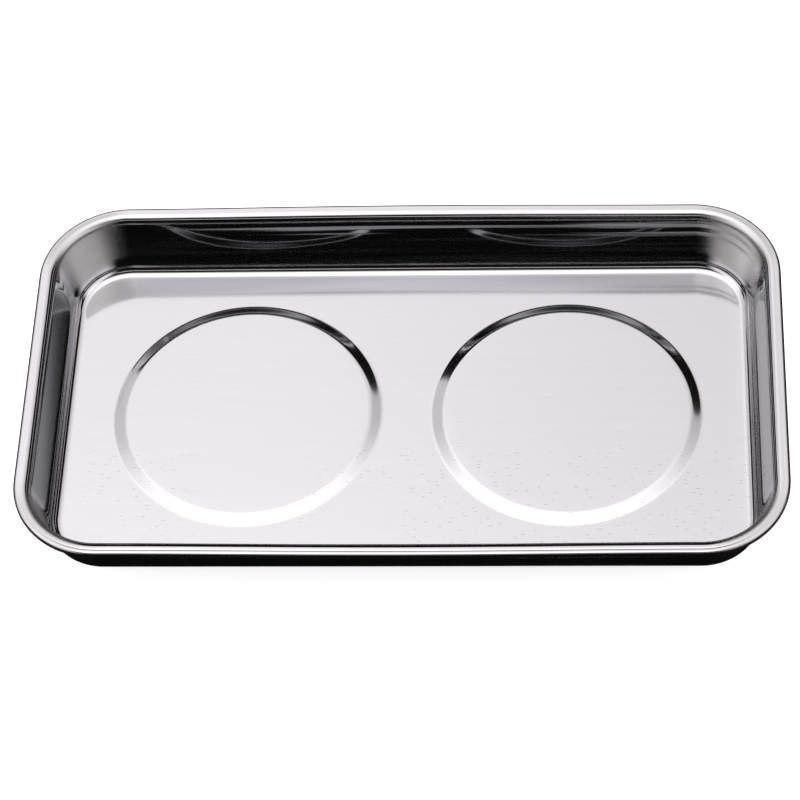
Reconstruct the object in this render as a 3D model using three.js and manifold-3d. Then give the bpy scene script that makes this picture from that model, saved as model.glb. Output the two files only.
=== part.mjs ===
// Magnetic parts tray: a drawn stainless pan with a rolled rim and two round raised seats.
// Under each seat sits a magnet foot: a rubber boot that holds a ferrite ring and a steel plate,
// bonded into the pocket under the seat by a foam disc.
//
// Millimetres, +Z up, +X along the length, +Y towards the back.
// The origin is on the surface that the tray stands on, below the middle of the pan.

import * as THREE from 'three';
import { mergeVertices } from 'three/addons/utils/BufferGeometryUtils.js';
import Module from 'manifold-3d';

const wasm = await Module();
wasm.setup();

// ---- driving dimensions ----------------------------------------------------------------------

const SHEET = 0.7; // thickness of the steel sheet
const GAP = 0.3; // clearance between pieces that touch
const FLOOR_TOP = 10; // height of the pan's floor above the bench
const RIM_RISE = 22; // height of the rim above the floor

const RIM_HALF_X = 120.6; // half length over the rim
const RIM_HALF_Y = 68.4; // half width over the rim, at the ends of a long side
const RIM_CORNER = 28; // plan radius of the rim's corners
const BOW = 0.65; // how far the long sides of the rim bulge at their middle
const LIP_DROP = 2.2; // how far the rolled edge hangs down
const LIP_THICK = 1.5; // thickness of the rolled edge

const FOOT_HALF_X = 110.2; // half length of the floor, at the foot of the walls
const FOOT_HALF_Y = 58.05; // half width of the floor, at the foot of the walls
const FOOT_CORNER = 17; // plan radius of the floor's corners
const FILLET_START = 2.1; // the fillet starts this far inside the foot of the walls
const FILLET = 3.8; // radius between floor and wall
const WALL_TILT = 78.5; // degrees of slope of the wall
const SHOULDER = 2.9; // radius between wall and rim

const SEAT_X = 51.5; // distance of each seat's centre from the middle
const SEAT_RADIUS = 44; // radius of the seat at its foot
const SEAT_RISE = 1.15; // height of the seat above the floor
const SEAT_TILT = 17.5; // degrees of slope of the seat's side
const SEAT_SHOULDER = 5.3; // radius at the top of that side
const SEAT_FOOT = 3.7; // radius at the foot of that side

const BOOT_RADIUS = 41;
const BOOT_BASE = 2; // thickness of rubber under the magnet
const BOOT_EDGE = 1.1; // chamfer around the boot's base
const BOOT_LIP = 1.7; // how far the boot's lip reaches in over the plate
const BOOT_LIP_THICK = 0.45;
const MAGNET_RADIUS = 36;
const MAGNET_BORE = 16;
const MAGNET_THICK = 5;
const PLATE_THICK = 1.5;

const CORNER_STEPS = 8; // facets along a quarter corner
const LONG_STEPS = 8; // facets along a long side
const SHORT_STEPS = 1; // facets along a short side
const TURN_STEPS = 56; // facets around a turned piece

const radians = THREE.MathUtils.degToRad;

// ---- plan outline of the pan ----------------------------------------------------------------

/** One straight side from start to end, pushed outwards by bow at its middle, end left out. */
function bowedSide(start, end, outward, bow, steps) {
  return Array.from({ length: steps }, (_, i) => {
    const along = i / steps;
    const fromMiddle = 2 * along - 1;
    const push = bow * (1 - fromMiddle ** 2) ** 2;
    return new THREE.Vector2().lerpVectors(start, end, along).addScaledVector(outward, push);
  });
}

/** A quarter circle around centre, starting at the angle given, end left out. */
function quarterArc(centre, radius, startAngle) {
  return Array.from({ length: CORNER_STEPS }, (_, i) => {
    const angle = startAngle + (i / CORNER_STEPS) * (Math.PI / 2);
    return new THREE.Vector2(Math.cos(angle), Math.sin(angle)).multiplyScalar(radius).add(centre);
  });
}

/**
 * The rounded rectangle of one level of the pan, anticlockwise from above, as 3-D points.
 * A level is {halfX, halfY, corner, bow, z}; bow goes from 0 at the floor to 1 at the rim.
 */
function outline({ halfX, halfY, corner, bow, z }) {
  const inX = halfX - corner;
  const inY = halfY - corner;
  const sides = [
    { middle: [inX, inY], outward: [0, 1], bulge: BOW, steps: LONG_STEPS },
    { middle: [-inX, inY], outward: [-1, 0], bulge: 0, steps: SHORT_STEPS },
    { middle: [-inX, -inY], outward: [0, -1], bulge: BOW, steps: LONG_STEPS },
    { middle: [inX, -inY], outward: [1, 0], bulge: 0, steps: SHORT_STEPS },
  ];
  const points = sides.flatMap((side, quarter) => {
    const centre = new THREE.Vector2(...side.middle);
    const nextCentre = new THREE.Vector2(...sides[(quarter + 1) % 4].middle);
    const outward = new THREE.Vector2(...side.outward);
    const start = centre.clone().addScaledVector(outward, corner);
    const end = nextCentre.addScaledVector(outward, corner);
    return [
      ...quarterArc(centre, corner, (quarter * Math.PI) / 2),
      ...bowedSide(start, end, outward, side.bulge * bow, side.steps),
    ];
  });
  return points.map((point) => new THREE.Vector3(point.x, point.y, z));
}

// ---- section of the pan ------------------------------------------------------------------------

/**
 * The level of the pan at a distance outwards from the foot of the wall and a height above the
 * floor. Outwards of the foot the sides and the corner's radius grow evenly up to the rim's.
 */
function levelAt(outward, z) {
  const growth = Math.max(outward, 0) / (RIM_HALF_X - FOOT_HALF_X);
  const inward = Math.min(outward, 0);
  const mix = (foot, rim) => THREE.MathUtils.lerp(foot, rim, growth) + inward;
  return {
    halfX: mix(FOOT_HALF_X, RIM_HALF_X),
    halfY: mix(FOOT_HALF_Y, RIM_HALF_Y),
    corner: mix(FOOT_CORNER, RIM_CORNER),
    bow: THREE.MathUtils.clamp(z / RIM_RISE, 0, 1),
    z,
  };
}

/** A level grown outwards by reach on every side, and moved up by rise. */
function grown(level, reach, rise = 0) {
  return {
    halfX: level.halfX + reach,
    halfY: level.halfY + reach,
    corner: level.corner + reach,
    bow: level.bow,
    z: level.z + rise,
  };
}

/** Points of an arc from one slope in degrees to another, each with its slope, start left out. */
function arcSection(start, radius, endTilt, steps) {
  return Array.from({ length: steps }, (_, i) => {
    const tilt = THREE.MathUtils.lerp(start.tilt, endTilt, (i + 1) / steps);
    const side = Math.sign(endTilt - start.tilt) * radius;
    return {
      out: start.out + side * (Math.sin(radians(tilt)) - Math.sin(radians(start.tilt))),
      z: start.z + side * (Math.cos(radians(start.tilt)) - Math.cos(radians(tilt))),
      tilt,
    };
  });
}

/** The upper skin from the flat floor up to the flat rim, as levels that keep their slope. */
function upperSkin() {
  const floorEdge = { out: -FILLET_START, z: 0, tilt: 0 };
  const fillet = arcSection(floorEdge, FILLET, WALL_TILT, 4);
  const wallFoot = fillet.at(-1);
  const wallTopZ = RIM_RISE - SHOULDER * (1 - Math.cos(radians(WALL_TILT)));
  const wallTop = {
    out: wallFoot.out + (wallTopZ - wallFoot.z) / Math.tan(radians(WALL_TILT)),
    z: wallTopZ,
    tilt: WALL_TILT,
  };
  const shoulder = arcSection(wallTop, SHOULDER, 0, 4);
  return [floorEdge, ...fillet, wallTop, ...shoulder].map(({ out, z, tilt }) => ({
    ...levelAt(out, z),
    tilt,
  }));
}

/** The same skin moved through the sheet, to its outer face. */
function lowerSkin(skin) {
  return skin.map((level) => {
    const tilt = radians(level.tilt);
    return grown(level, SHEET * Math.sin(tilt), -SHEET * Math.cos(tilt));
  });
}

/** The rolled edge of the rim, from its underside round to its top. */
function rimSection() {
  const outer = levelAt(RIM_HALF_X - FOOT_HALF_X, RIM_RISE);
  return [
    grown(outer, -LIP_THICK, -SHEET),
    grown(outer, -LIP_THICK, -LIP_DROP),
    grown(outer, -LIP_THICK / 4, -LIP_DROP),
    grown(outer, 0, -LIP_DROP + LIP_THICK / 4),
    grown(outer, 0, -LIP_THICK / 3),
    grown(outer, -LIP_THICK / 3, 0),
  ];
}

// ---- geometry helpers ----------------------------------------------------------------------------

/** A closed skin through the rings in order, with a flat fan over the first and the last. */
function loft(rings) {
  const count = rings[0].length;
  const middle = (ring) => ring.reduce((sum, p) => sum.add(p), new THREE.Vector3()).divideScalar(count);
  const points = [...rings.flat(), middle(rings[0]), middle(rings.at(-1))];
  const lastRing = (rings.length - 1) * count;
  const firstMiddle = rings.length * count;
  const faces = [];
  for (let i = 0; i < count; i += 1) {
    const next = (i + 1) % count;
    faces.push(firstMiddle, next, i);
    for (let row = 0; row < lastRing; row += count) {
      faces.push(row + i, row + next, row + count + next);
      faces.push(row + i, row + count + next, row + count + i);
    }
    faces.push(firstMiddle + 1, lastRing + i, lastRing + next);
  }
  const geometry = new THREE.BufferGeometry().setFromPoints(points);
  geometry.setIndex(faces);
  return geometry;
}

/** A turned piece about Z from [radius, height] points, listed anticlockwise in that plane. */
function turned(profile, x = 0) {
  const points = profile.map(([radius, height]) => new THREE.Vector2(radius, height));
  return new THREE.LatheGeometry(points, TURN_STEPS).rotateX(Math.PI / 2).translate(x, 0, 0);
}

/** A manifold solid from a closed three.js geometry. */
function toSolid(geometry) {
  const bare = geometry.clone();
  bare.deleteAttribute('normal');
  bare.deleteAttribute('uv');
  const merged = mergeVertices(bare, 1e-4);
  return new wasm.Manifold(
    new wasm.Mesh({
      numProp: 3,
      vertProperties: new Float32Array(merged.attributes.position.array),
      triVerts: new Uint32Array(merged.index.array),
    }),
  );
}

/** A three.js geometry from a manifold solid. */
function toGeometry(solid) {
  const { vertProperties, triVerts } = solid.getMesh();
  const geometry = new THREE.BufferGeometry();
  geometry.setAttribute('position', new THREE.BufferAttribute(vertProperties, 3));
  geometry.setIndex(new THREE.BufferAttribute(triVerts, 1));
  return geometry;
}

// ---- the pan ---------------------------------------------------------------------------------------

/** The side of a seat from its flat top down to the floor, as {radius, height, tilt} points. */
function seatSide() {
  const steep = radians(SEAT_TILT);
  const half = steep / 2;
  const shoulderDrop = (angle) => SEAT_SHOULDER * (1 - Math.cos(angle));
  const footDrop = SEAT_FOOT * (1 - Math.cos(steep));
  const straightDrop = SEAT_RISE - shoulderDrop(steep) - footDrop;
  const straightRun = straightDrop / Math.tan(steep);
  const footRun = SEAT_FOOT * Math.sin(steep);
  const top = SEAT_RADIUS - footRun - straightRun - SEAT_SHOULDER * Math.sin(steep);
  return [
    { radius: top, height: SEAT_RISE, tilt: 0 },
    {
      radius: top + SEAT_SHOULDER * Math.sin(half),
      height: SEAT_RISE - shoulderDrop(half),
      tilt: half,
    },
    {
      radius: top + SEAT_SHOULDER * Math.sin(steep),
      height: SEAT_RISE - shoulderDrop(steep),
      tilt: steep,
    },
    { radius: SEAT_RADIUS - footRun, height: footDrop, tilt: steep },
    { radius: SEAT_RADIUS, height: 0, tilt: 0 },
  ];
}

/** The raised part of a seat, sunk halfway into the sheet so that the two join. */
function seatCap(x) {
  const side = seatSide().map(({ radius, height }) => [radius, height]);
  const sunk = -SHEET / 2;
  return turned([[0, sunk], [SEAT_RADIUS, sunk], ...side.reverse(), [0, SEAT_RISE]], x);
}

/** The hollow under a seat, which leaves one thickness of sheet below its top and side. */
function seatPocket(x) {
  const side = seatSide().map(({ radius, height, tilt }) => [
    radius - SHEET * Math.sin(tilt),
    height - SHEET * Math.cos(tilt),
  ]);
  const below = -2 * SHEET;
  return turned([[0, below], [SEAT_RADIUS, below], ...side.reverse(), [0, SEAT_RISE - SHEET]], x);
}

/** The drawn pan: floor, walls and rim in one skin, with the seats raised in its floor. */
function panGeometry() {
  const upper = upperSkin();
  const levels = [...lowerSkin(upper), ...rimSection(), ...upper.reverse()];
  let pan = toSolid(loft(levels.map(outline)));
  for (const x of [-SEAT_X, SEAT_X]) {
    pan = pan.add(toSolid(seatCap(x))).subtract(toSolid(seatPocket(x)));
  }
  return toGeometry(pan).translate(0, 0, FLOOR_TOP);
}

// ---- the magnet feet ---------------------------------------------------------------------------

const cavityRadius = MAGNET_RADIUS + GAP;
const magnetBottom = BOOT_BASE + GAP;
const plateBottom = magnetBottom + MAGNET_THICK + GAP;
const lipBottom = plateBottom + PLATE_THICK + GAP;
const pocketRoof = FLOOR_TOP + SEAT_RISE - SHEET;

/** A plain ring or disc between two heights, as a closed profile. */
function discProfile(inner, outer, bottom, top) {
  const profile = [[inner, bottom], [outer, bottom], [outer, top], [inner, top]];
  return inner > 0 ? [...profile, profile[0]] : profile;
}

/** The rubber boot: a cup with a chamfered base and a lip that holds the plate down. */
function bootProfile() {
  const top = lipBottom + BOOT_LIP_THICK;
  return [
    [0, 0],
    [BOOT_RADIUS - BOOT_EDGE, 0],
    [BOOT_RADIUS, BOOT_EDGE],
    [BOOT_RADIUS, top - BOOT_LIP_THICK],
    [BOOT_RADIUS - BOOT_LIP_THICK, top],
    [cavityRadius - BOOT_LIP, top],
    [cavityRadius - BOOT_LIP, lipBottom],
    [cavityRadius, lipBottom],
    [cavityRadius, BOOT_BASE],
    [0, BOOT_BASE],
  ];
}

const adhesiveRadius = cavityRadius - BOOT_LIP - GAP;

const footPieces = {
  rubber_boot: bootProfile(),
  ring_magnet: discProfile(MAGNET_BORE, MAGNET_RADIUS, magnetBottom, magnetBottom + MAGNET_THICK),
  backing_plate: discProfile(0, MAGNET_RADIUS, plateBottom, plateBottom + PLATE_THICK),
  adhesive_disc: discProfile(0, adhesiveRadius, lipBottom, pocketRoof - GAP),
};

// ---- materials and assembly ----------------------------------------------------------------------

const finishes = {
  tray_pan: { color: 0xd9d9dc, roughness: 0.18, metalness: 1 },
  rubber_boot: { color: 0x17181a, roughness: 0.75, metalness: 0 },
  ring_magnet: { color: 0x3b3b3f, roughness: 0.6, metalness: 0.2 },
  backing_plate: { color: 0xb9bcc0, roughness: 0.35, metalness: 1 },
  adhesive_disc: { color: 0xe8e4da, roughness: 0.9, metalness: 0 },
};

/** A named mesh with the finish of its kind of piece. */
function piece(name, kind, geometry) {
  const mesh = new THREE.Mesh(geometry, new THREE.MeshStandardMaterial(finishes[kind]));
  mesh.name = name;
  return mesh;
}

/** One magnet foot, built around its own axis and placed under its seat. */
function magnetFoot(side, x) {
  const foot = new THREE.Group();
  for (const [kind, profile] of Object.entries(footPieces)) {
    foot.add(piece(`${kind}_${side}`, kind, turned(profile)));
  }
  foot.position.x = x;
  return foot;
}

const tray = new THREE.Group();
tray.add(piece('tray_pan', 'tray_pan', panGeometry()));
tray.add(magnetFoot('left', -SEAT_X));
tray.add(magnetFoot('right', SEAT_X));

export default tray;
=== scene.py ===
"""Magnetic parts tray: fine surfaces, finishes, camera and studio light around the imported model.

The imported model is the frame: every place and overall size is read from it. The pieces built here
are a drawn stainless pan with two raised seats, and under each seat a magnet foot made of a rubber
boot, a ferrite ring, a zinc-plated plate and a foam adhesive disc. Lengths are metres, +X runs
along the tray, +Y to its back and +Z up.
"""

from __future__ import annotations

import logging
import math
from dataclasses import dataclass, field
from enum import Enum
from typing import Iterable, Sequence

import bpy
import numpy as np
from mathutils import Matrix, Vector


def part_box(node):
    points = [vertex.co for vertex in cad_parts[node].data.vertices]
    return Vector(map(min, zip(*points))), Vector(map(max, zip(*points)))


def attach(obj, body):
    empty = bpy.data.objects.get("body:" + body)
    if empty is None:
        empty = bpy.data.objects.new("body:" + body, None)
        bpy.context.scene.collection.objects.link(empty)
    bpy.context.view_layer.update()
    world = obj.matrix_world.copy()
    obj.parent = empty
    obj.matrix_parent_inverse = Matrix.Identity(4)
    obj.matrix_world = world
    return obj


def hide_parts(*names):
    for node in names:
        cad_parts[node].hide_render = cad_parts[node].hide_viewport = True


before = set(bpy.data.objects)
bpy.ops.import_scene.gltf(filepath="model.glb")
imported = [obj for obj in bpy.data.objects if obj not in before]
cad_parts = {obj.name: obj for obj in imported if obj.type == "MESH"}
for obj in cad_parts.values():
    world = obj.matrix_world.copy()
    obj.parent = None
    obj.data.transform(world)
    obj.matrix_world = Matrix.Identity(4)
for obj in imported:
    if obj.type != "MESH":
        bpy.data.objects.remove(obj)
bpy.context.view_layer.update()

LOG = logging.getLogger("parts_tray")
MM = 0.001
WELD = 1e-6
QUARTER = math.pi / 2
Array = np.ndarray
Colour = tuple[float, float, float, float]
Span = tuple[float, float]
Fall = tuple[float, float, float, float]


# ---- Sections and skins ----


class Slot(Enum):
    """The record's material slots."""

    STEEL = "pan_steel"
    RUBBER = "boot_rubber"
    FERRITE = "magnet_ferrite"
    ZINC = "plate_zinc"
    FOAM = "bond_foam"


class Section:
    """A line drawn with a pen in the plane of a section, out along w and up along z.

    The pen keeps its heading, the slope of the line in radians, so lines and arcs join without a
    kink. Every point also keeps the heading there, which gives the surface's normal.
    """

    def __init__(self, w: float, z: float, heading: float = 0.0) -> None:
        """Puts the pen down.

        Args:
            w: Distance outwards in metres.
            z: Height in metres.
            heading: Slope in radians, 0 outwards and a quarter turn up.
        """
        self.points: list[tuple[float, float, float]] = [(w, z, heading)]

    def line(self, length: float, steps: int = 1) -> "Section":
        """Draws straight on.

        Args:
            length: Distance in metres.
            steps: Number of equal steps.

        Returns:
            This section.
        """
        w, z, heading = self.points[-1]
        for part in np.linspace(0, length, steps + 1)[1:]:
            self.points.append((w + part * math.cos(heading), z + part * math.sin(heading), heading))
        return self

    def arc(self, radius: float, turn: float, steps: int) -> "Section":
        """Draws a circular arc: left for a positive turn, and right for a negative one.

        Args:
            radius: Radius in metres.
            turn: Change of heading in radians.
            steps: Number of equal steps.

        Returns:
            This section.
        """
        w, z, heading = self.points[-1]
        side = math.copysign(radius, turn)
        for part in np.linspace(0, turn, steps + 1)[1:]:
            now = heading + part
            across = side * (math.sin(now) - math.sin(heading))
            up = side * (math.cos(heading) - math.cos(now))
            self.points.append((w + across, z + up, now))
        return self

    def array(self) -> Array:
        """Returns the points as rows of w, z and heading."""
        return np.array(self.points)


def new_object(name: str, data: bpy.types.ID) -> bpy.types.Object:
    """Makes an object of a mesh or a camera at the origin and adds it to the scene."""
    made = bpy.data.objects.new(name, data)
    bpy.context.scene.collection.objects.link(made)
    return made


class Skin:
    """A mesh gathered from patches of points, welded where patches share an edge."""

    def __init__(self, name: str) -> None:
        """Starts an empty skin.

        Args:
            name: Name of the piece.
        """
        self.name = name
        self.points: list[Array] = []
        self.maps: list[Array] = []
        self.strains: list[Array] = []
        self.faces: list[Array] = []
        self.count = 0

    def grid(
        self,
        points: Array,
        uv: Array,
        strain: Array | None = None,
        closed: bool = False,
        flip: bool = False,
    ) -> None:
        """Adds a grid of points as quads: vertex (i, j) joins (i + 1, j) and (i, j + 1).

        Args:
            points: Array of rows, columns and three coordinates.
            uv: Array of rows, columns and two surface lengths.
            strain: How far the sheet was drawn at each point, from 0 to 1.
            closed: Joins the last column to the first.
            flip: Turns the faces to the other side.
        """
        rows, columns = points.shape[:2]
        index = np.arange(rows * columns).reshape(rows, columns) + self.count
        beside = np.roll(index, -1, axis=1)
        if not closed:
            index, beside = index[:, :-1], beside[:, :-1]
        quads = np.stack([index[:-1], beside[:-1], beside[1:], index[1:]], axis=-1).reshape(-1, 4)
        self.points.append(points.reshape(-1, 3))
        self.maps.append(uv.reshape(-1, 2))
        self.strains.append(np.zeros(rows * columns) if strain is None else strain.reshape(-1))
        self.faces.append(quads[:, ::-1] if flip else quads)
        self.count += rows * columns

    def build(self) -> bpy.types.Object:
        """Welds the patches into one smooth object with a UV map and a strain attribute.

        Points closer than the weld distance become one. A quad that loses a corner in the weld
        becomes a triangle, and one that loses two is dropped, which closes poles and seams.

        Returns:
            The new object, at the origin.
        """
        points = np.concatenate(self.points)
        maps = np.concatenate(self.maps)
        strains = np.concatenate(self.strains)
        faces = np.concatenate(self.faces)
        keys = np.round(points / WELD).astype(np.int64)
        _, first, welded = np.unique(keys, axis=0, return_index=True, return_inverse=True)
        welded = welded.reshape(-1)
        corners = welded[faces]
        kept = corners != np.roll(corners, 1, axis=1)
        sides = kept.sum(axis=1)
        whole = np.flatnonzero(sides >= 3)
        polygons = [corners[i][kept[i]].tolist() for i in whole]
        loops = np.concatenate([faces[i][kept[i]] for i in whole])
        mesh = bpy.data.meshes.new(self.name)
        mesh.from_pydata(points[first].tolist(), [], polygons)
        layer = mesh.uv_layers.new(name="surface")
        layer.data.foreach_set("uv", maps[loops].astype(np.float32).ravel())
        strain = mesh.attributes.new("strain", "FLOAT", "POINT")
        strain.data.foreach_set("value", strains[first].astype(np.float32))
        mesh.polygons.foreach_set("use_smooth", np.ones(len(polygons), bool))
        mesh.update()
        mesh.validate()
        return new_object(self.name, mesh)


def turned_skin(name: str, section: Array, centre: Vector, steps: int = 128) -> bpy.types.Object:
    """Turns a section about the upright axis through centre.

    A point (w, z) of the section at angle a lies at centre + (w cos a, w sin a, z).

    Args:
        name: Name of the piece.
        section: Rows of w and z, listed from the inside of the bottom round to the inside of the top.
        centre: A point on the axis; its height is added to z.
        steps: Facets around the axis.

    Returns:
        The new object.
    """
    angle = np.linspace(0, 2 * math.pi, steps, endpoint=False)
    w, z = section[:, 0][:, None], section[:, 1][:, None]
    points = np.stack(
        [
            centre.x + w * np.cos(angle),
            centre.y + w * np.sin(angle),
            centre.z + z + 0 * angle,
        ],
        axis=-1,
    )
    along = np.concatenate([[0], np.cumsum(np.hypot(*np.diff(section[:, :2], axis=0).T))])
    uv = np.stack(np.broadcast_arrays(angle[None, :] * w.max(), along[:, None]), axis=-1)
    skin = Skin(name)
    skin.grid(points, uv, closed=True)
    return skin.build()


# ---- The pan ----


@dataclass(frozen=True)
class PanSizes:
    """Sizes of the drawn pan that the frame's boxes don't give, in metres and radians."""

    sheet: float = 0.7 * MM
    rim_rise: float = 22 * MM
    rim_corner: float = 28 * MM
    bow: float = 0.65 * MM
    foot_in_x: float = 10.4 * MM
    foot_in_y: float = 10.35 * MM
    foot_corner: float = 17 * MM
    band: float = 8.0 * MM
    dish_run: float = 5.9 * MM
    dish_tilt: float = math.radians(1.2)
    fillet: float = 3.8 * MM
    wall_tilt: float = math.radians(78.5)
    shoulder: float = 2.9 * MM
    buckle: float = 0.03 * MM
    wall_bulge: float = 0.22 * MM
    wave_reach: float = 95 * MM
    crease_depth: float = 0.07 * MM
    crease_half: float = 0.38 * MM
    crease_front: float = 60 * MM
    crease_fade: float = 5 * MM
    roll: float = 1.0 * MM
    lip_drop: float = 2.2 * MM
    seat_radius: float = 44.0 * MM
    seat_rise: float = 1.15 * MM
    seat_tilt: float = math.radians(17.5)
    seat_shoulder: float = 5.3 * MM
    seat_foot: float = 3.7 * MM
    seat_apron: float = 0.8 * MM


@dataclass
class DrawnPan:
    """The stainless pan, one closed skin: floor with two seats, walls, rim and rolled edge."""

    sizes: PanSizes = field(default_factory=PanSizes)
    long_steps: int = 72
    short_steps: int = 28
    corner_steps: int = 24
    middle_steps: int = 48
    waves: tuple[Fall, ...] = (
        (1.0, 47, 0, 0.4),
        (0.7, 83, 260, 1.9),
        (0.35, 29, -410, 0),
    )

    def __post_init__(self) -> None:
        """Reads the pan's overall sizes and the seats' places from the frame."""
        _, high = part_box("tray_pan")
        boot_low, boot_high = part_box("rubber_boot_right")
        s = self.sizes
        self.rim_half = (high.x, high.y - s.bow)
        self.foot_half = (self.rim_half[0] - s.foot_in_x, self.rim_half[1] - s.foot_in_y)
        self.rim_top = high.z
        self.floor_top = high.z - s.rim_rise
        self.seat_x = (boot_low.x + boot_high.x) / 2

    # -- plan --

    def half_outline(self, w: Array, z: Array) -> tuple[Array, Array]:
        """The right half of the rounded rectangle at each point of a section.

        w counts outwards from the foot of the wall. Outwards of the foot the corner radius grows
        evenly up to the rim's, and inwards it shrinks by w. The long sides bulge by
        bow (1 - m^2)^2, where m runs from -1 to 1 along the side, in proportion to the height.
        The outline runs from the middle of the front side round to the middle of the back side.

        Args:
            w: Distance outwards from the foot, one per level.
            z: Height, one per level.

        Returns:
            Points as levels, stations and x, y, z; and strain, 1 in the middle of a corner.
        """
        s = self.sizes
        w, z = w[:, None], z[:, None]
        outside = np.maximum(w, 0)
        half_x = self.foot_half[0] + w
        half_y = self.foot_half[1] + w - outside * (1 - s.foot_in_y / s.foot_in_x)
        corner = s.foot_corner + np.minimum(w, 0) + outside * (s.rim_corner - s.foot_corner) / s.foot_in_x
        bow = np.clip((z - self.floor_top) / s.rim_rise, 0, 1)
        in_x, in_y = half_x - corner, half_y - corner
        side = np.linspace(0, 1, self.long_steps + 1)[None, :-1]
        rise = np.linspace(-1, 1, self.short_steps + 1)[None, :-1]
        turn = np.linspace(0, QUARTER, self.corner_steps + 1)[None, :-1]
        swell = bow * s.bow * (1 - side**2) ** 2
        back = np.linspace(1, 0, self.long_steps + 1)[None, :]
        swell_back = bow * s.bow * (1 - back**2) ** 2
        x = np.concatenate(
            [
                in_x * side,
                in_x + corner * np.sin(turn),
                half_x + 0 * rise,
                in_x + corner * np.cos(turn),
                in_x * back,
            ],
            axis=1,
        )
        y = np.concatenate(
            [
                -half_y - swell,
                -in_y - corner * np.cos(turn),
                in_y * rise,
                in_y + corner * np.sin(turn),
                half_y + swell_back,
            ],
            axis=1,
        )
        drawn = self._strain(side.shape[1], rise.shape[1], turn[0], back.shape[1])
        points = np.stack([x, y, z + 0 * x], axis=-1)
        return points, np.broadcast_to(drawn, x.shape)

    @staticmethod
    def _strain(front: int, short: int, turn: Array, back: int) -> Array:
        """Strain around half the outline: a bump of sin^0.5 over each corner, 0 on the sides."""
        bump = np.sin(2 * turn) ** 0.5
        return np.concatenate([np.zeros(front), bump, np.zeros(short), bump, np.zeros(back)])

    # -- sections --

    def upper_section(self) -> Array:
        """The inside of the pan from the flat floor to the top of the rim's shoulder."""
        s = self.sizes
        dish_radius = s.dish_run / math.sin(s.dish_tilt)
        pen = Section(-s.band, self.floor_top)
        pen.arc(dish_radius, s.dish_tilt, 8)
        pen.arc(s.fillet, s.wall_tilt - s.dish_tilt, 16)
        shoulder_rise = s.shoulder * (1 - math.cos(s.wall_tilt))
        left = self.rim_top - shoulder_rise - pen.array()[-1, 1]
        pen.line(left / math.sin(s.wall_tilt), 14)
        pen.arc(s.shoulder, -s.wall_tilt, 14)
        return pen.array()

    def rim_section(self, start: Array) -> Array:
        """The flat rim from the top of the shoulder outwards, its roll, and back underneath."""
        s = self.sizes
        pen = Section(start[0], self.rim_top)
        pen.line(s.foot_in_x - start[0] - s.roll, 12)
        hem = 0.45 * s.roll
        pen.arc(s.roll, -QUARTER, 9)
        pen.line(s.lip_drop - s.roll - hem, 2)
        pen.arc(hem, -math.pi, 8)
        pen.line(s.lip_drop - hem - s.sheet - 0.1 * MM, 2)
        return pen.array()[1:]

    def lower_section(self, upper: Array) -> Array:
        """The outside of the pan: the upper section moved through the sheet along its normal."""
        s = self.sizes
        w, z, heading = upper.T
        moved = np.stack([w + s.sheet * np.sin(heading), z - s.sheet * np.cos(heading), heading], axis=1)
        return moved[::-1]

    def seat_section(self) -> Array:
        """A seat from its flat top down its side to the floor, as radius, height and tilt."""
        s = self.sizes
        steep = s.seat_tilt
        arcs = (s.seat_shoulder + s.seat_foot) * (1 - math.cos(steep))
        straight = (s.seat_rise - arcs) / math.sin(steep)
        run = (s.seat_shoulder + s.seat_foot) * math.sin(steep) + straight * math.cos(steep)
        pen = Section(s.seat_radius - run, s.seat_rise)
        pen.arc(s.seat_shoulder, -steep, 8)
        pen.line(straight, 3)
        pen.arc(s.seat_foot, steep, 8)
        return pen.array()

    # -- patches --

    def floor_patch(self, through: float) -> Array:
        """The right half of the floor, around its seat.

        Rings run out from the seat's centre: circles down the seat's side, then rings that blend
        from the last circle to the edge of the half floor, point + t (edge - point).

        Args:
            through: Depth below the upper face, 0 for the upper face itself.

        Returns:
            Points as rings, stations and x, y, z.
        """
        edge_w = np.array([-self.sizes.band])
        outline, _ = self.half_outline(edge_w, np.array([self.floor_top]))
        edge = outline[0, :, :2]
        middle = np.linspace(edge[-1], edge[0], self.middle_steps + 1)[1:-1]
        edge = np.concatenate([edge, middle])
        centre = np.array([self.seat_x, 0.0])
        spoke = edge - centre
        spoke /= np.linalg.norm(spoke, axis=1)[:, None]
        seat = self.seat_section()
        radius = seat[:, 0] + through * np.sin(seat[:, 2])
        height = seat[:, 1] - through * np.cos(seat[:, 2])
        inner = np.array([0.0, 0.35, 0.7, 0.9]) * radius[0]
        radius = np.concatenate([inner, radius, [self.sizes.seat_radius + self.sizes.seat_apron]])
        height = np.concatenate([np.full(4, height[0]), height, [-through]])
        circles = centre + radius[:, None, None] * spoke[None]
        blend = np.linspace(0, 1, 11)[1:, None, None]
        rings = circles[-1] + blend * (edge - circles[-1])
        plan = np.concatenate([circles, rings])
        z = np.concatenate([height, np.full(len(rings), -through)]) + self.floor_top
        z = np.broadcast_to(z[:, None], plan.shape[:2])
        return np.concatenate([plan, z[..., None]], axis=-1)

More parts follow.
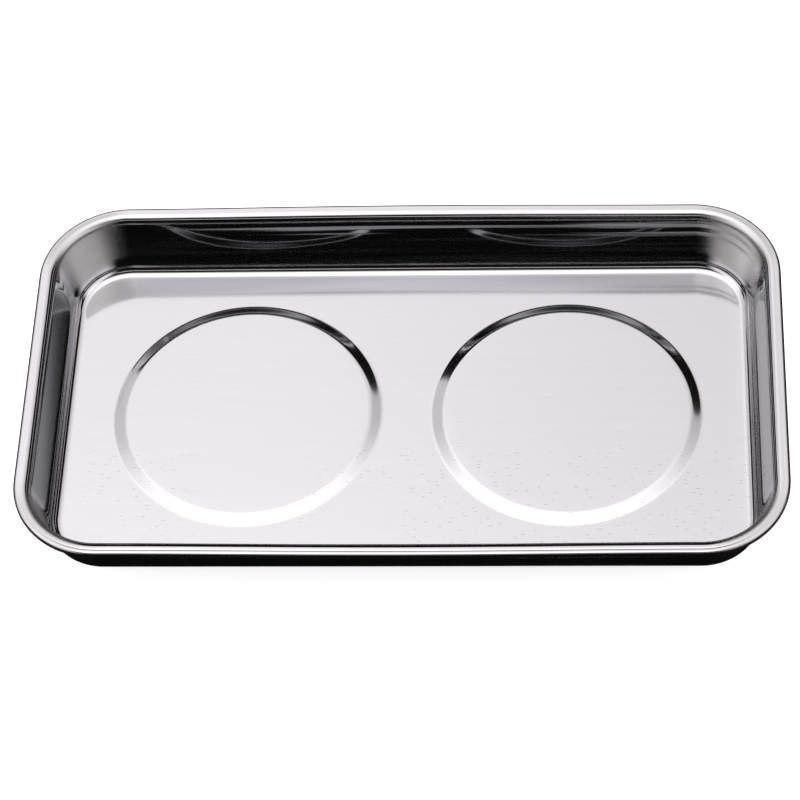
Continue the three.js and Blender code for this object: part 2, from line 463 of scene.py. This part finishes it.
    def buckled(self, points: Array) -> Array:
        """Bulges the long walls inwards and lets them stray a little, as drawn sheet does.

        Points move along y only. With h from 0 to 1 up the wall, the bulge is 4 h (1 - h), and
        the stray is a sum of waves, share sin(a x + b z + shift), times 6.75 h^2 (1 - h), which
        peaks at 1. Both fade to nothing towards the corners, as 1 - (x / reach)^6.

        Args:
            points: Array of levels, stations and x, y, z.

        Returns:
            The moved points.
        """
        x, y, z = points[..., 0], points[..., 1], points[..., 2]
        s = self.sizes
        h = np.clip((z - self.floor_top - 2 * MM) / (s.rim_rise - 3 * MM), 0, 1)
        middle = np.clip(1 - (np.abs(x) / s.wave_reach) ** 6, 0, 1) * (np.abs(y) > 50 * MM)
        waves = sum(share * np.sin(a * x + b * z + shift) for share, a, b, shift in self.waves)
        stray = s.buckle * 6.75 * h**2 * (1 - h) * waves
        bulge = s.wall_bulge * 4 * h * (1 - h)
        moved = points.copy()
        moved[..., 1] = y + middle * (stray - np.sign(y) * bulge)
        return moved

    def creased(self, points: Array, w: Array) -> Array:
        """Presses the shallow crease along the middle of the flat rim, deepest in front.

        The rim's levels go down by depth (1 + cos(pi u)) / 2, where u runs from -1 to 1 over the
        crease. The depth falls to a fifth away from the front side.

        Args:
            points: Array of levels, stations and x, y, z.
            w: Distance outwards, one per level.

        Returns:
            The moved points.
        """
        s = self.sizes
        flat_start = self.upper_section()[-1, 0]
        middle = (flat_start + s.foot_in_x - s.roll) / 2
        u = np.clip((w - middle) / s.crease_half, -1, 1)[:, None]
        front = np.clip((-points[..., 1] - s.crease_front) / s.crease_fade, 0.2, 1)
        upper_face = points[..., 2] > self.rim_top - 0.2 * MM
        moved = points.copy()
        moved[..., 2] -= s.crease_depth * (1 + np.cos(math.pi * u)) / 2 * front * upper_face
        return moved

    def build(self) -> bpy.types.Object:
        """Builds the closed skin: the section round both halves, and the floor in its middle.

        Returns:
            The pan's object, not dressed yet.
        """
        upper = self.upper_section()
        rim = self.rim_section(upper[-1])
        lower = self.lower_section(upper)
        section = np.concatenate([upper, rim, lower])
        points, strain = self.half_outline(section[:, 0], section[:, 1])
        points = self.creased(points, section[:, 0])
        mirror = np.array([-1.0, 1.0, 1.0])
        along = np.concatenate([[0], np.cumsum(np.hypot(*np.diff(section[:, :2], axis=0).T))])
        around = np.concatenate(
            [[0], np.cumsum(np.linalg.norm(np.diff(points[len(upper) - 1], axis=0), axis=1))]
        )
        uv = np.stack(np.broadcast_arrays(around[None, :], along[:, None]), axis=-1)
        height = np.clip((points[..., 2] - self.floor_top - 3.5 * MM) / (3 * MM), 0, 1)
        drawn = strain * height
        skin = Skin("drawn_pan")
        for side, flip in ((np.ones(3), True), (mirror, False)):
            skin.grid(self.buckled(points * side), uv * side[:2], drawn, flip=flip)
            for through, turned_over in ((0.0, False), (self.sizes.sheet, True)):
                floor = self.floor_patch(through) * side
                skin.grid(floor, floor[..., :2], closed=True, flip=flip != turned_over)
        LOG.info("pan section of %d levels, %d stations a half", *points.shape[:2])
        return skin.build()


# ---- The magnet feet ----


def disc_section(inner: float, outer: float, low: float, high: float, edge: float) -> Array:
    """The section of a disc or ring with rounded edges, from the inside of its base upwards.

    Args:
        inner: Bore radius, 0 for a disc.
        outer: Outer radius.
        low: Height of the base.
        high: Height of the top.
        edge: Radius of the rounded edges.

    Returns:
        Rows of w and z, closed on itself where there is a bore.
    """
    wall = high - low - 2 * edge
    face = outer - inner - edge * (2 if inner else 1)
    pen = Section(inner + (edge if inner else 0), low)
    pen.line(face, 4)
    pen.arc(edge, QUARTER, 5).line(wall, 2).arc(edge, QUARTER, 5)
    pen.line(face, 4)
    if inner:
        pen.arc(edge, QUARTER, 5).line(wall, 2).arc(edge, QUARTER, 5)
    return pen.array()[:, :2]


@dataclass
class MagnetFoot:
    """One foot: rubber boot, ring magnet, backing plate and adhesive disc."""

    side: str
    groove_count: int = 5
    groove_pitch: float = 4.2 * MM
    groove_depth: float = 0.5 * MM
    base_edge: float = 1.1 * MM
    lip_edge: float = 0.18 * MM
    magnet_bore: float = 16 * MM
    gap: float = 0.3 * MM

    def _span(self, kind: str) -> tuple[Vector, float, float, float]:
        """The centre, radius, base and top of one of this foot's nodes."""
        low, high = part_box(f"{kind}_{self.side}")
        centre = Vector(((low.x + high.x) / 2, (low.y + high.y) / 2, 0))
        return centre, (high.x - low.x) / 2, low.z, high.z

    def boot(self) -> bpy.types.Object:
        """The boot: grooved base, rounded outer edge, wall, lip over the plate, and its inside."""
        centre, radius, low, high = self._span("rubber_boot")
        _, inner, magnet_low, _ = self._span("ring_magnet")
        _, _, _, plate_high = self._span("backing_plate")
        _, bond_radius, _, _ = self._span("adhesive_disc")
        pen = Section(0, low)
        first = radius - self.base_edge - self.groove_pitch * self.groove_count
        pen.line(first, 6)
        flat = self.groove_pitch - 4 * self.groove_depth
        for _ in range(self.groove_count):
            pen.arc(self.groove_depth, QUARTER, 4).arc(self.groove_depth, -QUARTER, 4)
            pen.arc(self.groove_depth, -QUARTER, 4).arc(self.groove_depth, QUARTER, 4)
            pen.line(flat, 2)
        pen.arc(self.base_edge, QUARTER, 8)
        pen.line(high - low - self.base_edge - 2 * self.lip_edge, 6)
        pen.arc(2 * self.lip_edge, QUARTER, 5)
        mouth = bond_radius + self.gap
        pen.line(radius - 2 * self.lip_edge - mouth - self.lip_edge, 3)
        pen.arc(self.lip_edge, QUARTER, 4)
        rows = pen.array()[:, :2]
        shelf, well = plate_high + self.gap, magnet_low - self.gap
        pocket = inner + self.gap
        inside = np.array([[rows[-1, 0], shelf], [pocket, shelf], [pocket, well], [0, well]])
        return turned_skin(f"moulded_boot_{self.side}", np.concatenate([rows, inside]), centre)

    def magnet(self) -> bpy.types.Object:
        """The ferrite ring with ground faces and broken edges."""
        centre, outer, low, high = self._span("ring_magnet")
        section = disc_section(self.magnet_bore, outer, low, high, 0.35 * MM)
        return turned_skin(f"ferrite_ring_{self.side}", section, centre)

    def plate(self) -> bpy.types.Object:
        """The backing plate, blanked from sheet with a rolled upper edge."""
        centre, outer, low, high = self._span("backing_plate")
        section = disc_section(0, outer, low, high, 0.25 * MM)
        return turned_skin(f"zinc_plate_{self.side}", section, centre)

    def adhesive(self) -> bpy.types.Object:
        """The foam adhesive disc."""
        centre, outer, low, high = self._span("adhesive_disc")
        section = disc_section(0, outer, low, high, 0.2 * MM)
        return turned_skin(f"foam_disc_{self.side}", section, centre)


# ---- Shader helpers and shared effects ----


class Graph:
    """A thin wrapper that adds and joins shader nodes in one line each."""

    def __init__(self, tree: bpy.types.NodeTree) -> None:
        """Works on a node tree that is already there.

        Args:
            tree: The tree to add nodes to.
        """
        self.tree = tree

    def add(self, kind: str, inputs: dict | None = None, **settings: object) -> bpy.types.Node:
        """Adds a node, sets its properties, and feeds its inputs.

        Args:
            kind: Blender's name for the node type.
            inputs: Input name or number to a value or to another node's output.
            **settings: Properties of the node itself.

        Returns:
            The node.
        """
        node = self.tree.nodes.new(kind)
        for name, value in settings.items():
            setattr(node, name, value)
        self.feed(node, inputs or {})
        return node

    def feed(self, node: bpy.types.Node, inputs: dict) -> None:
        """Joins sockets to a node's inputs, and sets the inputs that are given as values.

        Args:
            node: The node to feed.
            inputs: Input name or number to a value or to another node's output.
        """
        for key, value in inputs.items():
            if isinstance(value, bpy.types.NodeSocket):
                self.tree.links.new(value, node.inputs[key])
            else:
                node.inputs[key].default_value = value

    def bump(self, height: object, distance: float, strength: float) -> bpy.types.NodeSocket:
        """Adds a bump and returns its normal.

        Args:
            height: Value or socket, 0 to 1.
            distance: Depth in metres that 1 stands for.
            strength: Share of the bump that is used.

        Returns:
            The normal's socket.
        """
        inputs = {"Height": height, "Distance": distance, "Strength": strength}
        return self.add("ShaderNodeBump", inputs).outputs[0]

    def math(self, operation: str, *values: object, clamp: bool = False) -> bpy.types.NodeSocket:
        """Adds a Math node and returns its output.

        Args:
            operation: Blender's name for the sum.
            *values: Its inputs, numbers or sockets.
            clamp: Keeps the result between 0 and 1.

        Returns:
            The result's socket.
        """
        node = self.add("ShaderNodeMath", dict(enumerate(values)), operation=operation, use_clamp=clamp)
        return node.outputs[0]

    def ramp(
        self,
        value: object,
        low: float,
        high: float,
        start: float = 0.0,
        end: float = 1.0,
    ) -> bpy.types.NodeSocket:
        """Maps value from low..high to start..end with smooth ends.

        Args:
            value: Number or socket.
            low: Value at the start.
            high: Value at the end.
            start: Result at low.
            end: Result at high.

        Returns:
            The result's socket.
        """
        inputs = {0: value, 1: low, 2: high, 3: start, 4: end}
        node = self.add("ShaderNodeMapRange", inputs, interpolation_type="SMOOTHSTEP")
        return node.outputs[0]

    def product(self, first: object, *factors: object) -> bpy.types.NodeSocket:
        """Multiplies sockets together in order, and returns the result's socket."""
        for factor in factors:
            first = self.math("MULTIPLY", first, factor)
        return first

    def mix(self, factor: object, first: object, second: object) -> bpy.types.NodeSocket:
        """Blends two colours.

        Args:
            factor: Share of the second.
            first: Colour or socket.
            second: Colour or socket.

        Returns:
            The colour's socket.
        """
        node = self.add("ShaderNodeMix", {0: factor, 6: first, 7: second}, data_type="RGBA")
        return node.outputs[2]

    def noise(
        self,
        vector: object,
        scale: object,
        detail: float = 2.0,
        rough: float = 0.5,
    ) -> bpy.types.NodeSocket:
        """Adds a noise texture and returns its value, from 0 to 1.

        Args:
            vector: Coordinates.
            scale: Cells a metre, or a socket that gives them.
            detail: Octaves.
            rough: Strength of each octave against the last.

        Returns:
            The value's socket.
        """
        inputs = {"Vector": vector, "Scale": scale, "Detail": detail, "Roughness": rough}
        return self.add("ShaderNodeTexNoise", inputs).outputs[0]

    def stretched(self, vector: object, scale: Sequence[float]) -> bpy.types.NodeSocket:
        """Scales coordinates by a different amount on each axis.

        Args:
            vector: Coordinates.
            scale: Three factors.

        Returns:
            The new coordinates' socket.
        """
        return self.add("ShaderNodeMapping", {"Vector": vector, "Scale": scale}).outputs[0]


def new_group(
    name: str,
    values: dict[str, float],
    masks: Sequence[str],
) -> tuple[Graph, bpy.types.NodeOutputs, bpy.types.Node]:
    """Makes a shader node group that takes coordinates and values, and gives masks.

    Args:
        name: Name of the group.
        values: Name and default of each value that it takes beside its Vector.
        masks: Names of the values that it gives, from 0 to 1.

    Returns:
        The graph, the sockets that the group is given, and its output node.
    """
    tree = bpy.data.node_groups.new(name, "ShaderNodeTree")
    tree.interface.new_socket("Vector", in_out="INPUT", socket_type="NodeSocketVector")
    for label, default in values.items():
        socket = tree.interface.new_socket(label, in_out="INPUT", socket_type="NodeSocketFloat")
        socket.default_value = default
    for label in masks:
        tree.interface.new_socket(label, in_out="OUTPUT", socket_type="NodeSocketFloat")
    graph = Graph(tree)
    return graph, graph.add("NodeGroupInput").outputs, graph.add("NodeGroupOutput")


class Effects:
    """The effects that several finishes share, each built once as a node group."""

    def __init__(self) -> None:
        """Builds the groups."""
        self.grain = self._grain()
        self.specks = self._specks()
        self.scratches = self._scratches()

    @staticmethod
    def _grain() -> bpy.types.NodeTree:
        """Brushed or ground grain: noise stretched along X, fine and coarse together."""
        graph, given, result = new_group(
            "Grain", {"Pitch": 2500.0, "Stretch": 0.02}, ("Fine", "Broad")
        )
        x, y, z = graph.add("ShaderNodeSeparateXYZ", {0: given["Vector"]}).outputs
        along = graph.math("MULTIPLY", x, given["Stretch"])
        joined = graph.add("ShaderNodeCombineXYZ", {0: along, 1: y, 2: z}).outputs[0]
        coarse = graph.math("MULTIPLY", given["Pitch"], 0.12)
        graph.feed(
            result,
            {
                "Fine": graph.noise(joined, given["Pitch"], 3.0, 0.6),
                "Broad": graph.noise(joined, coarse, 2.0, 0.5),
            },
        )
        return graph.tree

    @staticmethod
    def _picked(
        graph: Graph,
        given: bpy.types.NodeOutputs,
        cells: bpy.types.Node,
        reach: str,
        channel: int,
    ) -> bpy.types.NodeSocket:
        """Marks the middles of cells out to a reach, in the share of cells that Cover gives.

        Args:
            graph: The group's graph.
            given: The sockets that the group is given.
            cells: The cell texture.
            reach: Name of the value that says how far from its middle a cell is marked.
            channel: The channel of a cell's chance colour that is read.

        Returns:
            The mask's socket.
        """
        spot = graph.math("LESS_THAN", cells.outputs["Distance"], given[reach])
        chance = graph.add("ShaderNodeSeparateColor", {0: cells.outputs["Color"]}).outputs[channel]
        return graph.product(spot, graph.math("LESS_THAN", chance, given["Cover"]))

    def _specks(self) -> bpy.types.NodeTree:
        """Tiny pits or dust: the middles of scattered cells."""
        values = {"Scale": 700.0, "Size": 0.18, "Cover": 0.5}
        graph, given, result = new_group("Specks", values, ("Mask",))
        inputs = {"Vector": given["Vector"], "Scale": given["Scale"]}
        cells = graph.add("ShaderNodeTexVoronoi", inputs)
        graph.feed(result, {"Mask": self._picked(graph, given, cells, "Size", 0)})
        return graph.tree

    def _scratches(self) -> bpy.types.NodeTree:
        """Short scratches: the middles of scattered cells pulled long along X."""
        values = {"Scale": 300.0, "Width": 0.05, "Cover": 0.2}
        graph, given, result = new_group("Scratches", values, ("Mask",))
        pulled = graph.stretched(given["Vector"], (0.16, 1.0, 1.0))
        inputs = {"Vector": pulled, "Scale": given["Scale"]}
        cells = graph.add("ShaderNodeTexVoronoi", inputs, voronoi_dimensions="2D")
        graph.feed(result, {"Mask": self._picked(graph, given, cells, "Width", 1)})
        return graph.tree


# ---- Finishes ----


def new_material(name: str) -> tuple[bpy.types.Material, Graph, bpy.types.Node]:
    """Makes a material with a plain Principled shader.

    Args:
        name: Name of the material.

    Returns:
        The material, its graph and its shader node.
    """
    material = bpy.data.materials.new(name)
    material.use_nodes = True
    graph = Graph(material.node_tree)
    return material, graph, material.node_tree.nodes["Principled BSDF"]


@dataclass(frozen=True)
class DrawnSteel:
    """Bright drawn stainless: brushed floor, polished walls darkened by painted shade, satin corners.

    Spans of height are counted from the floor, in metres.
    """

    effects: Effects
    colour: Colour = (0.68, 0.665, 0.68, 1)
    # Darker colour painted on the walls as painted shade.
    wall_shade_colour: Colour = (0.41, 0.415, 0.43, 1)
    worn: Colour = (0.62, 0.60, 0.59, 1)
    streak: Colour = (0.58, 0.57, 0.58, 1)
    mark: Colour = (0.36, 0.34, 0.33, 1)
    floor_roughness: float = 0.085
    wall_roughness: float = 0.05
    corner_roughness: float = 0.34
    grain_pitch: float = 2600.0
    grain_stretch: float = 0.03
    drawing_marks: float = 0.4
    film: float = 0.35
    line_pitch: float = 620.0
    line_stretch: float = 0.014
    wall_foot: Span = (2.3 * MM, 3.5 * MM)
    # Heights where the walls' painted shade fades in above the foot and fades out below the rim.
    shade_foot: Span = (3 * MM, 5 * MM)
    shade_top: Span = (19.5 * MM, 21.5 * MM)
    lines_foot: Span = (12.5 * MM, 15.5 * MM)
    lines_top: Span = (18 * MM, 20.5 * MM)
    lines_back: Span = (50 * MM, 56 * MM)
    marks_front: Span = (-5 * MM, -25 * MM)
    patch_cover: Fall = (0.42, 0.58, 0.05, 0.7)

    def make(self, floor_top: float) -> bpy.types.Material:
        """Builds the material.

        Args:
            floor_top: Height of the floor, which splits brushed floor from polished wall.

        Returns:
            The material.
        """
        material, graph, shader = new_material("drawn_steel")
        place = graph.add("ShaderNodeTexCoord").outputs["Object"]
        strain = graph.add("ShaderNodeAttribute", attribute_name="strain").outputs["Fac"]
        _, depth, z = graph.add("ShaderNodeSeparateXYZ", {0: place}).outputs
        height = graph.math("SUBTRACT", z, floor_top)
        walls = graph.ramp(height, *self.wall_foot)
        flat = graph.ramp(walls, 0, 1, 1.0, 0.0)
        grain = graph.add(
            "ShaderNodeGroup",
            {"Vector": place, "Pitch": self.grain_pitch, "Stretch": self.grain_stretch},
            node_tree=self.effects.grain,
        )
        lines = self._lines(graph, place, depth, height, walls)
        base = graph.ramp(walls, 0, 1, self.floor_roughness, self.wall_roughness)
        drawn = graph.ramp(strain, 0.25, 0.9, 0.0, self.corner_roughness - self.wall_roughness)
        fine = graph.math("MULTIPLY_ADD", grain.outputs["Fine"], 0.06, -0.03)
        rough = graph.math("ADD", graph.math("ADD", base, drawn), fine)
        # Painted shade: the walls take the darker colour, fading in above the foot and out below the rim.
        inside = graph.product(
            graph.ramp(height, *self.shade_foot),
            graph.ramp(height, *self.shade_top, 1.0, 0.0),
        )
        tone = graph.mix(inside, self.colour, self.wall_shade_colour)
        tone = graph.mix(graph.math("MULTIPLY", strain, 0.7), tone, self.worn)
        streaks = graph.product(graph.ramp(grain.outputs["Broad"], 0.3, 0.7, 0.0, 0.06), flat)
        tone = graph.mix(streaks, tone, self.streak)
        hairs = graph.product(graph.ramp(grain.outputs["Fine"], 0.5, 0.8, 0.0, 0.3), flat)
        tone = graph.mix(hairs, tone, self.streak)
        brushed = graph.product(grain.outputs["Fine"], graph.ramp(walls, 0, 1, 1.0, 0.1))
        finish = {
            "Base Color": graph.mix(self._marks(graph, place, depth, flat), tone, self.mark),
            "Roughness": graph.math("MULTIPLY_ADD", lines, self.drawing_marks, rough),
            "Metallic": graph.math("MULTIPLY_ADD", lines, -self.film, 1.0),
            "Normal": graph.bump(brushed, 0.002 * MM, 0.5),
        }
        graph.feed(shader, finish)
        return material

    def _lines(
        self,
        graph: Graph,
        place: object,
        depth: object,
        height: object,
        walls: object,
    ) -> bpy.types.NodeSocket:
        """Drawing marks: long thin lines with a dull film, high on the back wall."""
        drawn_out = (self.line_stretch, self.line_stretch, 1.0)
        lines = graph.noise(graph.stretched(place, drawn_out), self.line_pitch, 2, 0.5)
        return graph.product(
            graph.ramp(lines, 0.47, 0.64),
            walls,
            graph.ramp(height, *self.lines_foot, 0.04, 1.0),
            graph.ramp(height, *self.lines_top, 1.0, 0.15),
            graph.ramp(depth, *self.lines_back, 0.1, 1.0),
        )

    def _marks(
        self,
        graph: Graph,
        place: object,
        depth: object,
        flat: object,
    ) -> bpy.types.NodeSocket:
        """Specks and short scratches in patches on the floor, mostly near the front."""
        specks = graph.add(
            "ShaderNodeGroup",
            {"Vector": place, "Size": 0.12, "Cover": 0.25},
            node_tree=self.effects.specks,
        )
        scratches = graph.add(
            "ShaderNodeGroup",
            {"Vector": place, "Scale": 700.0, "Width": 0.07, "Cover": 0.55},
            node_tree=self.effects.scratches,
        )
        patches = graph.ramp(graph.noise(place, 26, 3, 0.6), *self.patch_cover)
        patches = graph.product(patches, graph.ramp(depth, *self.marks_front, 0.12, 1.0))
        marks = graph.math("MAXIMUM", specks.outputs["Mask"], scratches.outputs["Mask"])
        return graph.product(marks, patches, flat)


@dataclass(frozen=True)
class MouldedRubber:
    """Matt black rubber with a fine blasted texture and a little dust."""

    colour: Colour = (0.022, 0.022, 0.024, 1)
    dusty: Colour = (0.09, 0.088, 0.084, 1)

    def make(self) -> bpy.types.Material:
        """Builds the material."""
        material, graph, shader = new_material("moulded_rubber")
        place = graph.add("ShaderNodeTexCoord").outputs["Object"]
        blasted = graph.noise(place, 2600, 3, 0.6)
        cloud = graph.ramp(graph.noise(place, 60, 4, 0.6), 0.45, 0.75, 0.0, 0.6)
        finish = {
            "Base Color": graph.mix(cloud, self.colour, self.dusty),
            "Roughness": graph.ramp(blasted, 0.3, 0.7, 0.62, 0.85),
            "Normal": graph.bump(blasted, 0.06 * MM, 0.6),
        }
        graph.feed(shader, finish)
        return material


@dataclass(frozen=True)
class GroundFerrite:
    """Dark grey ferrite, ground on its faces, with pores."""

    effects: Effects
    colour: Colour = (0.045, 0.046, 0.05, 1)
    pore: Colour = (0.012, 0.012, 0.013, 1)

    def make(self) -> bpy.types.Material:
        """Builds the material."""
        material, graph, shader = new_material("ground_ferrite")
        place = graph.add("ShaderNodeTexCoord").outputs["Object"]
        ground = {"Vector": place, "Stretch": 0.1}
        fine = graph.add("ShaderNodeGroup", ground, node_tree=self.effects.grain).outputs["Fine"]
        specks = graph.add("ShaderNodeGroup", {"Vector": place}, node_tree=self.effects.specks)
        finish = {
            "Base Color": graph.mix(specks.outputs["Mask"], self.colour, self.pore),
            "Roughness": graph.ramp(fine, 0.3, 0.7, 0.42, 0.62),
            "Normal": graph.bump(fine, 0.02 * MM, 0.5),
        }
        graph.feed(shader, finish)
        return material


@dataclass(frozen=True)
class ZincPlate:
    """Satin zinc plating with a faint warm and cold cast."""

    effects: Effects
    cold: Colour = (0.55, 0.58, 0.62, 1)
    warm: Colour = (0.66, 0.62, 0.55, 1)

    def make(self) -> bpy.types.Material:
        """Builds the material."""
        material, graph, shader = new_material("zinc_plate")
        place = graph.add("ShaderNodeTexCoord").outputs["Object"]
        cast = graph.ramp(graph.noise(place, 45, 3, 0.5), 0.35, 0.65)
        scratches = graph.add("ShaderNodeGroup", {"Vector": place}, node_tree=self.effects.scratches)
        finish = {
            "Base Color": graph.mix(cast, self.cold, self.warm),
            "Roughness": graph.ramp(scratches.outputs["Mask"], 0, 1, 0.34, 0.55),
            "Metallic": 1.0,
        }
        graph.feed(shader, finish)
        return material


@dataclass(frozen=True)
class FoamTape:
    """Off-white acrylic foam with small open cells."""

    colour: Colour = (0.72, 0.70, 0.64, 1)
    cell: Colour = (0.5, 0.48, 0.43, 1)

    def make(self) -> bpy.types.Material:
        """Builds the material."""
        material, graph, shader = new_material("foam_tape")
        place = graph.add("ShaderNodeTexCoord").outputs["Object"]
        cells = graph.add("ShaderNodeTexVoronoi", {"Vector": place, "Scale": 2200.0})
        depth = graph.ramp(cells.outputs["Distance"], 0.1, 0.6)
        finish = {
            "Base Color": graph.mix(depth, self.cell, self.colour),
            "Roughness": 0.9,
            "Normal": graph.bump(depth, 0.08 * MM, 0.6),
        }
        graph.feed(shader, finish)
        return material


# ---- Studio ----


@dataclass(frozen=True)
class StudioCamera:
    """A long lens that looks down on the tray from in front, turned a little."""

    place: tuple[float, float, float] = (62.2 * MM, -586.7 * MM, 831.1 * MM)
    aim: tuple[float, float, float] = (-2.4 * MM, 5.2 * MM, 10 * MM)
    roll: float = math.radians(5.34)
    lens: float = 141.0

    def make(self) -> bpy.types.Object:
        """Adds the camera and makes it the scene's."""
        data = bpy.data.cameras.new("studio_camera")
        data.lens = self.lens
        data.sensor_width = 36.0
        data.clip_start, data.clip_end = 0.05, 20.0
        camera = new_object("studio_camera", data)
        look = Vector(self.aim) - Vector(self.place)
        turn = look.to_track_quat("-Z", "Y").to_matrix().to_4x4()
        camera.matrix_world = Matrix.Translation(self.place) @ turn @ Matrix.Rotation(-self.roll, 4, "Z")
        bpy.context.scene.camera = camera
        return camera


@dataclass(frozen=True)
class Studio:
    """Plain pale floor under a soft studio sky.

    The sky is a broad ceiling panel behind and above the tray, two side lights and a thin line of
    light in front of it, and two low strips behind it. The panel is laid out on a ceiling one unit
    up, where a direction meets it at (across, back).
    """

    white: Colour = (1.0, 0.985, 1.0, 1)
    dome: float = 1.2
    glow: float = 0.65
    dark: float = 0.006
    panel_back: float = 1.10
    panel_right_reach: float = 1.81
    panel_right_slope: float = 1.29
    panel_left_start: float = -0.6
    panel_left_slope: float = 1.1
    panel_edge: Span = (-0.03, 0.04)
    panel_front: Span = (-0.59, -0.09)
    panel_left: Span = (-1.5, -1.2)
    panel_right: Span = (0.9, 1.3)
    back_fall: Fall = (0.1, 0.8, 1.76, 1.03)
    middle_fall: Fall = (-0.16, 0.1, 1.16, 0.98)
    right_fall: Fall = (0.1, 0.7, 1.0, 0.67)
    left_fall: Fall = (-0.7, -0.25, 0.68, 1.0)
    side_light: float = 1.1
    line_light: float = 1.0
    line_slope: float = 0.945
    strip_light: float = 0.5
    strip_left: float = 0.24
    strip_right: float = 0.395

    def floor(self) -> bpy.types.Object:
        """Adds the floor, a wide plane just under the tray."""
        half = 3.0
        corners = [(-half, -half, 0), (half, -half, 0), (half, half, 0), (-half, half, 0)]
        mesh = bpy.data.meshes.new("studio_floor")
        mesh.from_pydata(corners, [], [(0, 1, 2, 3)])
        plane = new_object("studio_floor", mesh)
        plane.location.z = -0.02 * MM
        plane.visible_glossy = False
        material, graph, shader = new_material("studio_paper")
        finish = {
            "Base Color": (0.9, 0.9, 0.9, 1),
            "Emission Color": self.white,
            "Emission Strength": self.glow,
            "Roughness": 0.9,
            "Specular IOR Level": 0.1,
        }
        graph.feed(shader, finish)
        mesh.materials.append(material)
        return plane

    def panel(self, graph: Graph, across: object, back: object) -> bpy.types.NodeSocket:
        """The ceiling panel's brightness: soft edges, brightest overhead, weaker to the sides."""
        reach = graph.math("MULTIPLY_ADD", across, -self.panel_right_slope, self.panel_right_reach)
        edge = graph.math("MINIMUM", reach, self.panel_back)
        spread = graph.math("MAXIMUM", graph.math("SUBTRACT", self.panel_left_start, across), 0.0)
        edge = graph.math("MULTIPLY_ADD", spread, self.panel_left_slope, edge)
        return graph.product(
            graph.ramp(back, *self.back_fall),
            graph.ramp(across, *self.middle_fall),
            graph.ramp(across, *self.right_fall),
            graph.ramp(across, *self.left_fall),
            graph.ramp(graph.math("SUBTRACT", edge, back), *self.panel_edge),
            graph.ramp(back, *self.panel_front),
            graph.ramp(across, *self.panel_left),
            graph.ramp(across, *self.panel_right, 1.0, 0.0),
        )

    def side_lights(self, graph: Graph, x: object, y: object, z: object) -> bpy.types.NodeSocket:
        """Two lights in front, left and right, and two low strips behind, left and right."""
        wide = graph.math("ABSOLUTE", x)
        lights = graph.product(
            graph.ramp(wide, 0.3, 0.62, 0.0, self.side_light),
            graph.ramp(y, 0.0, 0.3, 1.0, 0.0),
            graph.ramp(z, 0.2, 0.4),
            graph.ramp(z, 0.68, 0.8, 1.0, 0.0),
        )
        middle = graph.ramp(x, -0.1, 0.1, self.strip_left, self.strip_right)
        away = graph.math("ABSOLUTE", graph.math("SUBTRACT", z, middle))
        strips = graph.product(
            graph.ramp(wide, 0.55, 0.65, 0.0, self.strip_light),
            graph.ramp(y, 0.3, 0.4),
            graph.ramp(away, 0.02, 0.045, 1.0, 0.0),
        )
        return graph.math("ADD", lights, strips)

    def front_line(self, graph: Graph, x: object, y: object, z: object) -> bpy.types.NodeSocket:
        """A line of light across the dark in front, where height over distance is line_slope."""
        reach = graph.math("MAXIMUM", graph.math("MULTIPLY", y, -1.0), 0.02)
        slope = graph.math("DIVIDE", z, reach)
        away = graph.math("ABSOLUTE", graph.math("SUBTRACT", slope, self.line_slope))
        return graph.product(
            graph.ramp(away, 0.03, 0.10, self.line_light, 0.0),
            graph.ramp(y, -0.55, -0.7),
            graph.ramp(graph.math("ABSOLUTE", x), 0.25, 0.45, 1.0, 0.0),
        )

    def sky(self) -> bpy.types.World:
        """Adds the sky. Surfaces that scatter light see a plain pale dome, and so does the camera."""
        world = bpy.data.worlds.new("studio_sky")
        world.use_nodes = True
        graph = Graph(world.node_tree)
        background = world.node_tree.nodes["Background"]
        direction = graph.add("ShaderNodeTexCoord").outputs["Generated"]
        x, y, z = graph.add("ShaderNodeSeparateXYZ", {0: direction}).outputs
        up = graph.math("MAXIMUM", z, 0.02)
        across = graph.math("DIVIDE", x, up)
        back = graph.math("DIVIDE", y, up)
        total = graph.math("ADD", self.panel(graph, across, back), self.side_lights(graph, x, y, z))
        total = graph.math("ADD", total, self.front_line(graph, x, y, z))
        total = graph.math("ADD", total, self.dark)
        path = graph.add("ShaderNodeLightPath")
        plain = graph.math("MAXIMUM", path.outputs["Is Camera Ray"], path.outputs["Is Diffuse Ray"])
        level = graph.add("ShaderNodeMix", {0: plain, 2: total, 3: self.dome}, data_type="FLOAT")
        graph.feed(background, {"Strength": level.outputs[0], "Color": self.white})
        bpy.context.scene.world = world
        return world


# ---- Assembly ----


def place_piece(piece: bpy.types.Object, node: str, material: bpy.types.Material) -> None:
    """Dresses a piece and puts it in the frame in place of a CAD node.

    Args:
        piece: The new piece, at the origin.
        node: The node it stands for.
        material: The piece's finish.
    """
    piece.data.materials.append(material)
    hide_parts(node)
    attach(piece, "root")
    triangles = sum(len(face.vertices) - 2 for face in piece.data.polygons)
    LOG.info("%s stands for %s with %d triangles", piece.name, node, triangles)


def main() -> None:
    """Builds the studio and every piece in order."""
    logging.basicConfig(level=logging.INFO, format="%(name)s: %(message)s")
    StudioCamera().make()
    studio = Studio()
    studio.floor()
    studio.sky()
    bpy.context.scene.view_settings.view_transform = "Standard"
    effects = Effects()
    pan = DrawnPan()
    steel = DrawnSteel(effects).make(pan.floor_top)
    place_piece(pan.build(), "tray_pan", steel)
    rubber = MouldedRubber().make()
    ferrite = GroundFerrite(effects).make()
    zinc = ZincPlate(effects).make()
    foam = FoamTape().make()
    for side in ("left", "right"):
        foot = MagnetFoot(side)
        place_piece(foot.boot(), f"rubber_boot_{side}", rubber)
        place_piece(foot.magnet(), f"ring_magnet_{side}", ferrite)
        place_piece(foot.plate(), f"backing_plate_{side}", zinc)
        place_piece(foot.adhesive(), f"adhesive_disc_{side}", foam)


if __name__ == "__main__":
    main()
